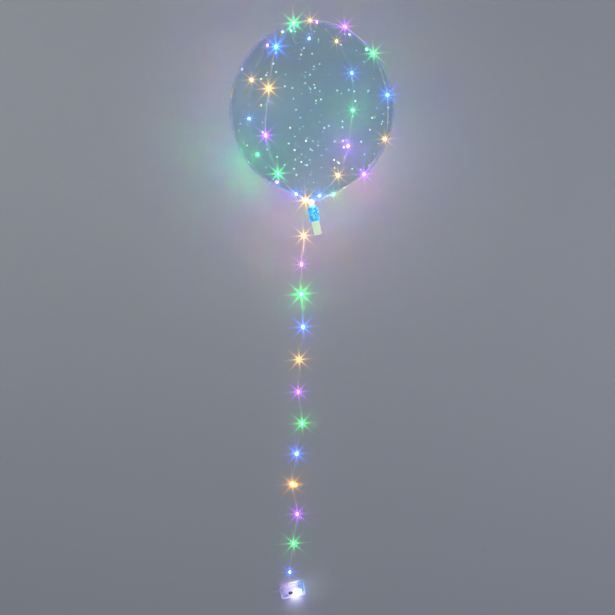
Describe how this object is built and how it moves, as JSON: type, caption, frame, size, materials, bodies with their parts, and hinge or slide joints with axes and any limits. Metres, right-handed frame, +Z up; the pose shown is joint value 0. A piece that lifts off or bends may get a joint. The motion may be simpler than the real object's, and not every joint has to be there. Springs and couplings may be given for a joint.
{
  "type": "led orb balloon",
  "caption": "Clear round bubble balloon lying on its side, strung with small coloured lights in crossing loops, with a loose lead of lights to a clear battery case.",
  "frame": {"origin": "middle of the small flat spot that the balloon rests on, on the floor under the ball's centre", "axes": "+Z up from the floor, +Y from the neck's side to the crown's, level over the balloon's axis, which dips 10.5 degrees to the neck, +X across it; the lead runs along -Y to the battery case"},
  "size_m": [0.4, 1.6514, 0.3975],
  "materials": {
    "film": "clear glossy balloon film",
    "valve_strip": "milky pale green film strip",
    "wire": "fine lacquered wire",
    "blue_light": "clear resin drop lit blue",
    "green_light": "clear resin drop lit green",
    "purple_light": "clear resin drop lit purple",
    "amber_light": "clear resin drop lit amber",
    "case_plastic": "clear moulded plastic",
    "contact_metal": "nickel-plated spring steel",
    "board": "green circuit board",
    "lamp": "clear resin dome lit white"
  },
  "bodies": {
    "root": {"balloon": "film", "valve_strip": "valve_strip", "neck_wire_wrap": "wire", "wire_loop_first": "wire", "wire_loop_second": "wire", "lead_wire": "wire", "led_01": "blue_light", "led_02": "green_light", "led_03": "purple_light", "led_04": "amber_light", "led_05": "blue_light", "led_06": "green_light", "led_07": "purple_light", "led_08": "amber_light", "led_09": "blue_light", "led_10": "green_light", "led_11": "purple_light", "led_12": "amber_light", "led_13": "blue_light", "led_14": "green_light", "led_15": "purple_light", "led_16": "amber_light", "led_17": "blue_light", "led_18": "green_light", "led_19": "purple_light", "led_20": "amber_light", "led_21": "blue_light", "led_22": "green_light", "led_23": "purple_light", "led_24": "amber_light", "led_25": "blue_light", "led_26": "green_light", "led_27": "purple_light", "led_28": "amber_light", "led_29": "blue_light", "led_30": "green_light", "led_31": "purple_light", "led_32": "amber_light", "led_33": "blue_light", "led_34": "green_light", "led_35": "purple_light", "led_36": "amber_light", "led_37": "blue_light", "led_38": "green_light", "led_39": "purple_light", "led_40": "amber_light", "case_tray": "case_plastic", "case_lid": "case_plastic", "contact_plate_left": "contact_metal", "contact_plate_right": "contact_metal", "contact_spring_front": "contact_metal", "contact_spring_back": "contact_metal", "circuit_board": "board", "case_lamp": "lamp"}
  },
  "joints": []
}
